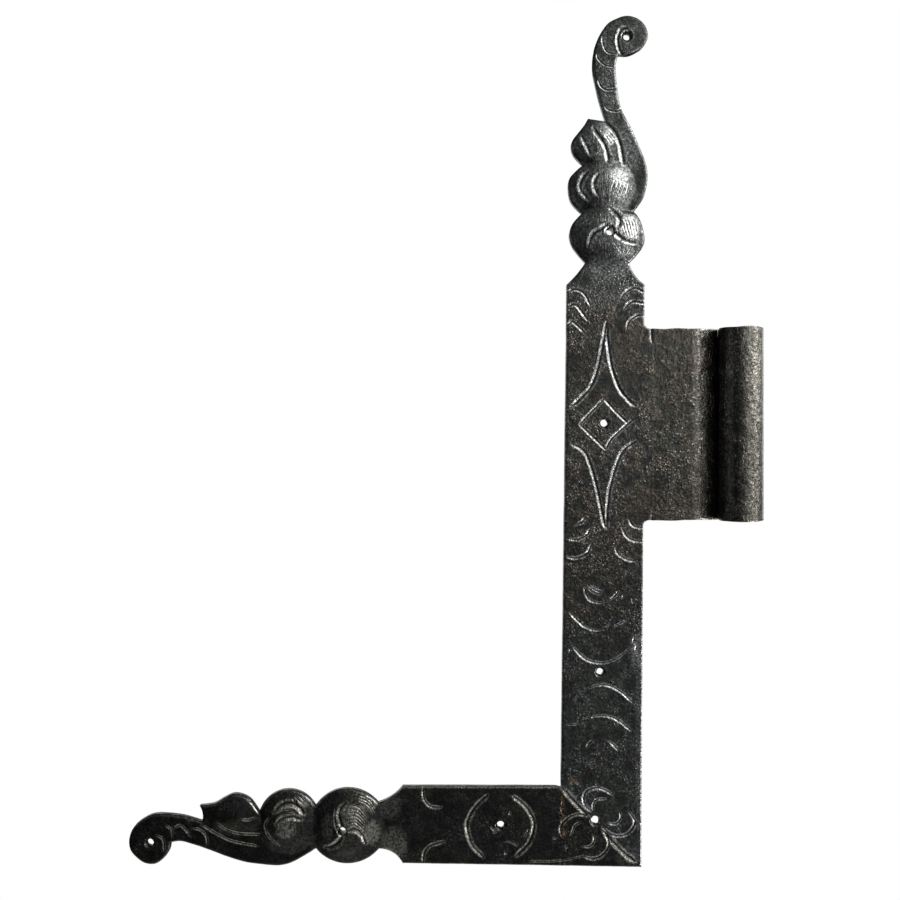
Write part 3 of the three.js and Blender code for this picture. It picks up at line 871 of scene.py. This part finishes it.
def leaf_surface(section, outward, station, start, end):
    """The rolled sheet: gently uneven, with hammered ends and the butt joint's edge closed. Its wear
    output is painted highlights on the bend and on the eye.
    """
    x, v = section.T * [[-1], [1]]
    height = station - LOWER_EDGE
    shift = (0.07 * noise(x + v, height, 19, 91) + 0.05 * noise(x + 2 * v, height, 6.5, 92)
             + 0.03 * noise(x - v, height, 2.7, 93))
    shift = shift * smoothstep(STUB_EDGE, STUB_EDGE + 5, x)
    slide = (0.45 * noise(x, v, 7, 94) * smoothstep(6, 0, end - station)
             + 0.3 * noise(x, v, 8, 95) * smoothstep(6, 0, station - start))
    closing = SEAM_CLOSING * np.clip(outward[:, 0], 0, 1) * (x < STUB_EDGE + 0.45)
    beside_butt = (x < STUB_EDGE + TICK_WIDTH) & (v < 0.5 - BAR_THICKNESS)
    opened = np.where(beside_butt, tick_opening(height) * np.clip(1.4 - (x - STUB_EDGE) / 0.5, 0, 1), 0.0)
    # painted highlights: the band where the sheet starts to bend and the eye's front and right rim are
    # brightened as bare metal
    painted_bend_highlight = smoothstep(44, 56, x) * smoothstep(62, 58, x) * (v < -1)
    painted_eye_highlight = 0.4 * smoothstep(80.5, 82.5, x) * (v < -8) + 0.24 * smoothstep(64.0, 71.0, x) * (v < -6)
    return shift + closing - opened, slide, 0.35 * painted_bend_highlight + painted_eye_highlight


def bead_surface(section, outward, station, start, end):
    """A weld ground nearly flush: low crescent ripples and ends that sink into the groove."""
    u, v = section.T
    middle, half_width = 0.5 * (u.min() + u.max()), 0.5 * (u.max() - u.min())
    bow = ((u - middle) / half_width) ** 2
    on_face = v > v.max() - 0.25
    phase = (station + 1.1 * bow) / 1.7 + 0.25 * noise(station, u, 5, 97)
    ripple = 0.16 * (phase - np.floor(phase))
    ends = 0.5 * (smoothstep(1.6, 0, station - start) + smoothstep(1.6, 0, end - station))
    return np.where(on_face, 0.04 - ripple - ends, 0.12), np.zeros(len(section)), on_face * (1 - ends)


def turned_pin(name):
    """The round pin: turned surface with light tool rings, chamfered ends and a centre drilling."""
    low, high = (np.array(corner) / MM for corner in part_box("hinge_pin"))
    axis, radius = (low + high) / 2, (high[0] - low[0]) / 2
    chamfer, drill, drill_depth = 1.0, 1.6, 1.4
    face = [(0.0, drill_depth), (0.5, 0.9 * drill_depth), (drill, 0.05), (drill + 0.2, 0.0)]
    face += [(r, 0.03 * math.sin(9 * r) + 0.03) for r in np.arange(2.2, radius - chamfer - 0.2, 0.35)]
    face += [(radius - chamfer, 0.02), (radius - 0.9 * chamfer, 0.06), (radius - 0.1, chamfer - 0.08),
             (radius, chamfer + 0.05)]
    profile = [(r, low[2] + depth) for r, depth in face]
    for z in np.arange(low[2] + 2 * chamfer, high[2] - 2 * chamfer, 0.9):
        profile.append((radius - 0.02 - 0.02 * math.sin(1.3 * z) - 0.015 * math.sin(7.1 * z), z))
    profile += [(r, high[2] - depth) for r, depth in reversed(face)]
    turn = circle(96) * (1, -1)
    count = len(turn)
    points = [np.column_stack([axis[:2] + r * turn, np.full(count, z)]) for r, z in profile[1:-1]]
    points += [[[axis[0], axis[1], z]] for _, z in (profile[0], profile[-1])]
    rings = np.arange(count * len(profile[1:-1])).reshape(-1, count)
    faces = bands(rings)
    for tip, rim in enumerate((rings[0], rings[-1][::-1]), rings.size):
        faces += [(tip, start, end) for start, end in zip(rim.tolist(), np.roll(rim, -1).tolist())]
    wear_and_sheen = [np.full(count, 1.0 if r < radius - 0.05 else 0.4) for r, _ in profile[1:-1]]
    return build_object(name, points, faces, {"wear_and_sheen": [*wear_and_sheen, [1, 1]]})


# ---------------- materials
class Graph:
    """The shader nodes of a material or of the world."""

    def __init__(self, owner):
        owner.use_nodes = True
        self.owner, self.nodes, self.links = owner, owner.node_tree.nodes, owner.node_tree.links
        self.nodes.clear()

    def add(self, kind, inputs, output=0, **settings):
        """A new node's output. Its inputs are numbers, vectors, colours or other nodes' outputs."""
        node = self.nodes.new("ShaderNode" + kind)
        for label, value in settings.items():
            setattr(node, label, value)
        for label, value in inputs.items():
            socket = node.inputs[label]
            if isinstance(value, bpy.types.NodeSocket):
                self.links.new(value, socket)
            else:
                socket.default_value = (*value, 1) if socket.type == "RGBA" else value
        return node.outputs[output]

    def end(self, kind, shader):
        self.links.new(shader, self.nodes.new("ShaderNode" + kind).inputs["Surface"])
        return self.owner

    def math(self, operation, *values, clamp=False):
        return self.add("Math", dict(enumerate(values)), operation=operation, use_clamp=clamp)

    def times(self, first, second, clamp=False):
        return self.math("MULTIPLY", first, second, clamp=clamp)

    def plus(self, first, *others, clamp=False):
        for other in others:
            first = self.math("ADD", first, other, clamp=clamp)
        return first

    def less(self, first, second):
        return self.math("SUBTRACT", first, second)

    def spread(self, value, low, high, to_low=0.0, to_high=1.0):
        """Maps low..high smoothly to to_low..to_high, and clamps."""
        inputs = dict(enumerate((value, low, high, to_low, to_high)))
        return self.add("MapRange", inputs, interpolation_type="SMOOTHSTEP")

    def mix(self, share, first, second):
        return self.add("Mix", {0: share, 6: first, 7: second}, 2, data_type="RGBA")


class Recipe(Graph):
    """A material whose patterns are measured in mm on the part."""

    def __init__(self, name):
        super().__init__(bpy.data.materials.new(name))
        self.in_mm = self.mapped(self.add("TexCoord", {}, "Object"), (1 / MM,) * 3)

    def mapped(self, vector, scale, turn=(0, 0, 0)):
        return self.add("Mapping", {"Vector": vector, "Scale": scale, "Rotation": turn})

    def noise(self, per_mm, detail, roughness=0.5, vector=None, distortion=0.0):
        return self.add("TexNoise", {"Vector": vector or self.in_mm, "Scale": per_mm, "Detail": detail,
                                     "Roughness": roughness, "Distortion": distortion})

    def brushed(self, per_mm, stretch, lean=0.0):
        """Streaks along z, leaning in the front view."""
        return self.noise(per_mm, 2, vector=self.mapped(self.in_mm, stretch, (0, lean, 0)))

    def cells(self, per_mm):
        return self.add("TexVoronoi", {"Vector": self.in_mm, "Scale": per_mm})

    def attribute(self, label):
        return self.add("Attribute", {}, "Fac", attribute_name=label)

    def bump(self, height, distance_mm, strength, **normal):
        inputs = {"Height": height, "Distance": distance_mm * MM, "Strength": strength}
        return self.add("Bump", inputs | normal)

    def along(self, axis, low, high):
        """From 0 to 1 as the part's own x, y or z goes from low to high mm."""
        return self.spread(self.add("SeparateXYZ", {0: self.in_mm}, axis), low, high)

    def finish(self, colour, roughness, normal, metallic=0.9):
        inputs = {"Base Color": colour, "Roughness": roughness, "Normal": normal, "Metallic": metallic}
        return self.end("OutputMaterial", self.add("BsdfPrincipled", inputs))


def shade(colour, share):
    return [share * part for part in colour]


def forged_steel(name, dark, tint, steel, gloss, wear, chiselled=True, zone=None, sparkle=1.0):
    """Blackened, waxed steel: mottled oxide, pits, specks of bare metal, and wear where it is rubbed, with
    painted highlights and sheen among the rubbed places and painted shade in the groove bottoms.

    zone, if given, is a function of the recipe that returns where the tint replaces the dark oxide."""
    r = Recipe(name)
    clouds = r.noise(0.045, 4, 0.55)
    blotches = r.noise(0.16, 5, 0.62, distortion=0.4)
    grain = r.noise(0.8, 5, 0.7)
    pitted = r.plus(r.times(blotches, 0.6), r.times(r.noise(0.035, 3), 0.6))

    tinted = r.spread(r.plus(clouds, r.times(zone(r) if zone else 0.5, 0.3)), 0.58, 0.76)
    colour = r.mix(tinted, dark, tint)
    colour = r.mix(r.spread(blotches, 0.36, 0.62), shade(dark, 0.55), colour)
    colour = r.mix(r.spread(grain, 0.38, 0.52), shade(dark, 0.3), colour)
    specks = r.times(r.spread(grain, 0.57, 0.68), r.spread(pitted, 0.5, 0.68, 0.15, 1.0))
    colour = r.mix(r.times(specks, wear), colour, steel)
    dots = r.times(r.spread(r.cells(0.7), 0.27, 0.12), r.spread(pitted, 0.6, 0.7))
    colour = r.mix(r.times(dots, 1.9 * wear, clamp=True), colour, steel)
    if chiselled:
        bulb, smoother = r.attribute("bulb"), r.less(1.0, r.times(scroll_zone(r), 0.65))
        # bared metal from wear, with painted highlights in some of the rubbed patches
        wear_and_highlights = r.plus(r.times(bulb, 0.25 * wear), r.times(r.attribute("rub_and_highlight"), 0.5),
                        r.times(r.attribute("shoulder"), 0.64))
    else:
        bulb, smoother = 0.15, 1.0
        # on the leaf this is painted sheen on the bend and the eye
        wear_and_highlights = r.times(r.attribute("wear_and_sheen"), 0.5)
    wear_and_highlights = r.plus(wear_and_highlights, r.times(r.attribute("edge"), 0.35))
    colour = r.mix(r.times(wear_and_highlights, r.spread(grain, 0.38, 0.58, 0.15, 1.1), clamp=True), colour, steel)
    if chiselled:
        colour = r.mix(r.times(r.attribute("rust"), r.spread(grain, 0.46, 0.58)), colour, RUST)
        # painted shade with dark wax: the groove bottoms are darkened towards black
        colour = r.mix(r.attribute("trench_wax_and_shade"), colour, shade(dark, 0.25))

    roughness = r.plus(gloss, r.times(r.less(r.noise(2.6, 3, 0.6), 0.5), 0.2), clamp=True)
    rough_patch = r.times(r.spread(pitted, 0.52, 0.68, 0.12 * sparkle, 0.95 * sparkle), smoother)
    surface = r.plus(r.times(r.noise(0.95, 1.5), rough_patch), r.times(grain, 0.12))
    if not chiselled:
        scratches = r.spread(r.brushed(0.9, (0.9, 0.9, 0.22), 0.55), 0.58, 0.68)
        surface = r.plus(surface, r.times(r.times(scratches, r.spread(clouds, 0.4, 0.6)), 0.45))
    surface = r.plus(surface, r.times(r.spread(r.cells(0.42), 0.0, 0.3), 0.1), r.times(blotches, 0.7))
    filed = r.times(r.brushed(1.1, (1, 1, 0.16), -0.5), r.plus(0.05, bulb))
    return r.finish(colour, roughness, r.bump(filed, 0.35, 0.9, Normal=r.bump(surface, 0.27, 1.0)))


def scroll_zone(r):
    """From 0 on the flat bars to 1 on the smoother, filed scroll ends."""
    z, x = SCROLL_STARTS[0] + LOWER_EDGE, SCROLL_STARTS[1]
    return r.math("MAXIMUM", r.along("Z", z - 12, z + 12), r.less(1.0, r.along("X", x - 12, x + 12)))


def middle_browned(r):
    """Heat-browned in the upright's middle, cooler towards the foot."""
    return r.times(r.along("Z", 20, 110), r.less(1.0, r.along("Z", 215, 260)))


def weld_metal():
    r = Recipe("ground_weld")
    grain = r.noise(1.4, 4, 0.65)
    ground = r.brushed(2.2, (1, 1, 0.08), 0.7)
    colour = r.mix(r.spread(grain, 0.4, 0.65), (0.05, 0.045, 0.04), (0.2, 0.19, 0.18))
    polished = r.times(r.attribute("wear_and_sheen"), r.spread(ground, 0.4, 0.6))
    colour = r.mix(polished, colour, (0.42, 0.41, 0.4))
    colour = r.mix(r.spread(r.noise(0.2, 3), 0.5, 0.62, 0.0, 0.4), colour, (0.12, 0.07, 0.045))
    normal = r.bump(r.plus(grain, r.times(ground, 0.6)), 0.15, 0.8)
    return r.finish(colour, r.spread(grain, 0.3, 0.7, 0.38, 0.6), normal)


def turned_steel():
    r = Recipe("turned_pin_steel")
    rings = r.brushed(3.0, (0.04, 0.04, 1))
    stains = r.noise(0.25, 5, 0.6)
    colour = r.mix(r.spread(stains, 0.42, 0.62), (0.2, 0.19, 0.18), (0.38, 0.38, 0.385))
    colour = r.mix(r.times(r.attribute("wear_and_sheen"), 0.5), colour, (0.5, 0.5, 0.5))
    normal = r.bump(r.plus(rings, r.times(stains, 0.3)), 0.04, 0.6)
    return r.finish(colour, r.spread(stains, 0.35, 0.65, 0.27, 0.42), normal, metallic=1.0)


# ---------------- studio
def area_light(name, place, target, size, power, colour=(1, 1, 1)):
    lamp = bpy.data.lights.new(name, "AREA")
    lamp.shape = "DISK"
    lamp.size = size
    lamp.energy = power
    lamp.color = colour
    aim = (Vector(target) - Vector(place)).to_track_quat("-Z", "Y")
    add_object(name, lamp).matrix_world = Matrix.Translation(place) @ aim.to_matrix().to_4x4()


def world_light():
    """White to the camera; a dim room, brighter towards the upper right, to everything else."""
    world = bpy.data.worlds.new("studio")
    bpy.context.scene.world = world
    g = Graph(world)
    brightest = Vector((0.7, -0.5, 0.52)).normalized()
    inputs = {0: g.add("TexCoord", {}, "Generated"), 1: brightest}
    towards = g.add("VectorMath", inputs, "Value", operation="DOT_PRODUCT")
    room = g.spread(towards, -0.1, 1.0, 0.03, 0.8)
    dim = g.add("Background", {"Color": (0.94, 0.97, 1.0), "Strength": room})
    white = g.add("Background", {"Color": (1, 1, 1), "Strength": 1.0})
    seen = g.add("LightPath", {}, "Is Camera Ray")
    g.end("OutputWorld", g.add("MixShader", {0: seen, 1: dim, 2: white}))


def pale_floor(centre, radius):
    """A plain floor far below the hinge, fading out to white at its rim. Both values are in mm."""
    rim = circle(64) * radius
    floor = build_object("floor", centre + np.column_stack([rim, 0 * rim[:, 0]]), [range(len(rim))])
    r = Recipe("pale_floor")
    away = r.add("VectorMath", {0: r.in_mm, 1: centre}, "Value", operation="DISTANCE")
    paint = r.mix(r.spread(r.noise(0.02, 3), 0.3, 0.7), (0.84, 0.84, 0.83), (0.87, 0.87, 0.86))
    matt, clear = r.add("BsdfDiffuse", {"Color": paint}), r.add("BsdfTransparent", {})
    fade = r.spread(away, 0.45 * radius, 0.98 * radius)
    floor.data.materials.append(r.end("OutputMaterial", r.add("MixShader", {0: fade, 1: matt, 2: clear})))


def photo_camera():
    """Straight on to the front, a little above and to the left of the hinge's middle."""
    camera = bpy.data.cameras.new("camera")
    camera.lens, camera.sensor_width = 35.2, 36.0
    obj = add_object("camera", camera)
    obj.location = (-0.0790, -0.4590, 0.1558)
    obj.rotation_euler = (math.radians(90), 0, 0)
    bpy.context.scene.camera = obj


# ---------------- assembly
photo_camera()
world_light()
area_light("key", (0.55, -0.78, 0.95), (0.0, 0, 0.26), 0.6, 4.6)
area_light("window", (1.02, -0.38, 0.62), (0.0, 0, 0.15), 0.9, 18.0)
area_light("front_right", (0.56, -1.03, 0.34), (0.0, 0, 0.12), 0.45, 1.9)
area_light("left_fill", (-1.2, -0.4, 0.35), (0.0, 0, 0.15), 0.9, 1.8, (0.85, 0.93, 1.0))
area_light("low_window", (0.92, -0.45, -0.36), (-0.08, 0, -0.04), 0.5, 9.5)
area_light("rim", (1.0, 0.9, 0.35), (0.05, 0, 0.2), 0.8, 2.6)
area_light("back_fill", (-0.45, 1.6, 0.12), (-0.05, 0, 0.15), 1.6, 6.0)
pale_floor((0.0, 0.0, -1144.2), 2000.0)
bpy.context.scene.view_settings.view_transform = "Standard"

# the foot's base colour is olive-black oxide, darkened further as painted shade
FOOT_OXIDE_AND_SHADE, OLIVE, BROWN = (0.030, 0.030, 0.029), (0.036, 0.035, 0.026), (0.055, 0.046, 0.037)
GREY, LEAF_GREY, RUST = (0.051, 0.054, 0.049), (0.042, 0.044, 0.037), (0.21, 0.13, 0.065)
STEEL, WARM_STEEL = (0.52, 0.52, 0.51), (0.50, 0.48, 0.42)

upright_steel = forged_steel("upright_forged_steel", GREY, BROWN, STEEL, 0.25, 0.4, zone=middle_browned)
# the foot's steel is a darker copy of the upright's, with fewer bare specks: partly olive-black oxide,
# partly painted shade for the light falling off towards the foot
foot_steel_painted_shade = forged_steel("foot_forged_steel_painted_shade", FOOT_OXIDE_AND_SHADE, OLIVE, WARM_STEEL, 0.26, 0.14, sparkle=0.6)
leaf_steel = forged_steel("leaf_rolled_steel", LEAF_GREY, BROWN, WARM_STEEL, 0.25, 0.36, False,
                          middle_browned)
weld_steel = weld_metal()

upright = Bar("strap_upright", 1).build("strap_upright_forged")
foot = Bar("strap_foot", -1).build("strap_foot_forged")
leaf = swept("knuckle_leaf", (0, 0, 1), 0.6, leaf_surface, "knuckle_leaf_rolled")
fit_out(upright, "strap_upright", "strap", upright_steel)
fit_out(foot, "strap_foot", "strap", foot_steel_painted_shade)
fit_out(leaf, "knuckle_leaf", "strap", leaf_steel)
fit_out(turned_pin("hinge_pin_turned"), "hinge_pin", "pin", turned_steel())
MITRE_COURSE = (MITRE_RUN[0], 0, MITRE_RUN[1])
for weld, course in (
    ("corner_weld_inner", MITRE_COURSE),
    ("corner_weld_outer", MITRE_COURSE),
    ("knuckle_weld", (0, 0, 1)),
):
    fit_out(swept(weld, course, 0.28, bead_surface, weld + "_bead"), weld, "strap", weld_steel)
